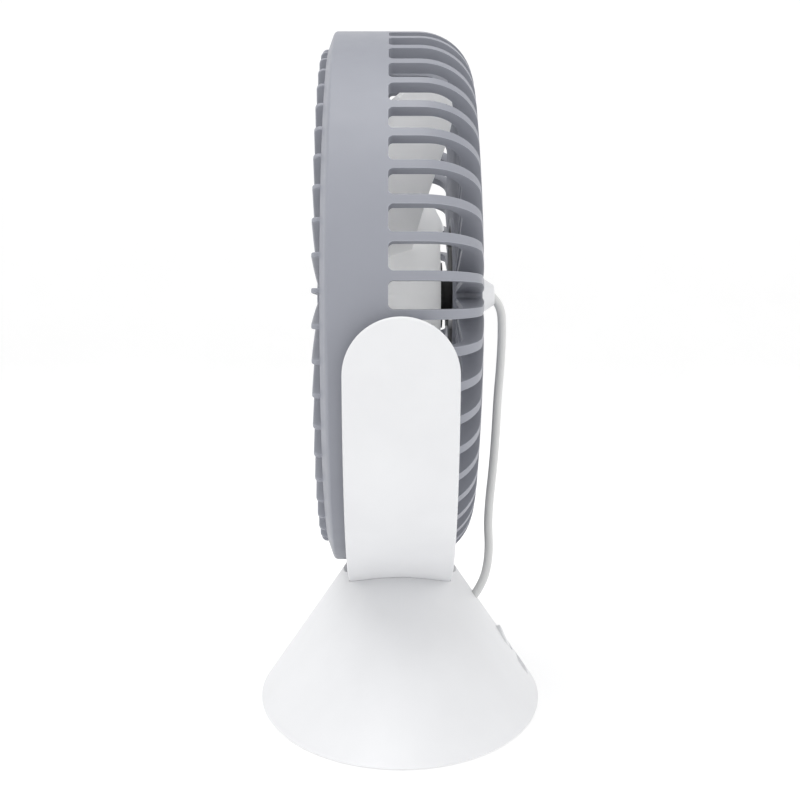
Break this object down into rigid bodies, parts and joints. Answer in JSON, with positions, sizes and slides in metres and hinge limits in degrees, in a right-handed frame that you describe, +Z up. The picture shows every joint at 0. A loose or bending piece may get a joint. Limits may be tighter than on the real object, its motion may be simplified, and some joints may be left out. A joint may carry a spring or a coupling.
{
  "type": "desk fan",
  "caption": "Small round desk fan whose slatted drum head tilts in a U-shaped yoke over an oval cone base, with a spinning impeller and a push button.",
  "frame": {"origin": "on the table, under the middle of the base", "axes": "+Z up, -Y the way the air leaves (front), X along the tilt pins from side to side"},
  "size_m": [0.1726, 0.0836, 0.2],
  "materials": {
    "blue_plastic": "fine matt, grey blue",
    "white_plastic": "fine matt",
    "blade_plastic": "matt, light grey",
    "cord_jacket": "smooth, light grey",
    "foot_rubber": "matt",
    "weight_iron": "rough",
    "nylon": "smooth",
    "core_steel": "stacked sheet",
    "winding_copper": "enamelled wire",
    "black_plastic": "matt",
    "magnet_black": "bonded ferrite",
    "steel": "plated",
    "bronze": "sintered",
    "brass": "turned",
    "board_green": "circuit board"
  },
  "bodies": {
    "base": {"yoke": "white_plastic", "yoke_screws": "steel", "pivot_pins": "steel", "pivot_clips": "steel", "friction_washers": "nylon", "base_shell": "white_plastic", "base_plate": "white_plastic", "base_screws": "steel", "rubber_feet": "foot_rubber", "ballast_weights": "weight_iron", "control_board": "board_green", "driver_chip": "black_plastic", "board_inductor": "magnet_black", "board_capacitor": "black_plastic", "cord_header": "white_plastic", "board_screws": "steel", "usb_socket": "steel", "tact_switch": "black_plastic", "switch_board": "board_green", "switch_screws": "steel", "motor_cord": "cord_jacket"},
    "head": {"rear_shell": "blue_plastic", "front_grille": "blue_plastic", "rear_cap": "white_plastic", "motor_plate": "black_plastic", "bearing_tube": "brass", "front_bearing": "bronze", "rear_bearing": "bronze", "stator_core": "core_steel", "front_insulator": "black_plastic", "rear_insulator": "black_plastic", "stator_windings": "winding_copper", "motor_board": "board_green", "motor_screws": "steel"},
    "fan": {"impeller": "blade_plastic", "rotor_cup": "steel", "rotor_magnet": "magnet_black", "motor_shaft": "steel", "shaft_clip": "nylon"},
    "button": {"power_button": "white_plastic", "switch_plunger": "black_plastic"}
  },
  "joints": [
    {"name": "head_tilt", "type": "hinge", "parent": "base", "child": "head", "pos_m": [0, 0, 0.0997], "axis": [-1, 0, 0], "range_deg": [-15, 25], "deforming": ["motor_cord"]},
    {"name": "impeller_spin", "type": "hinge", "parent": "head", "child": "fan", "pos_m": [0, 0, 0.12], "axis": [0, -1, 0], "continuous": true},
    {"name": "button_press", "type": "slide", "parent": "base", "child": "button", "axis": [0, -0.9135, -0.4067], "range_m": [0, 0.0008], "stiffness_N_per_m": 500}
  ]
}
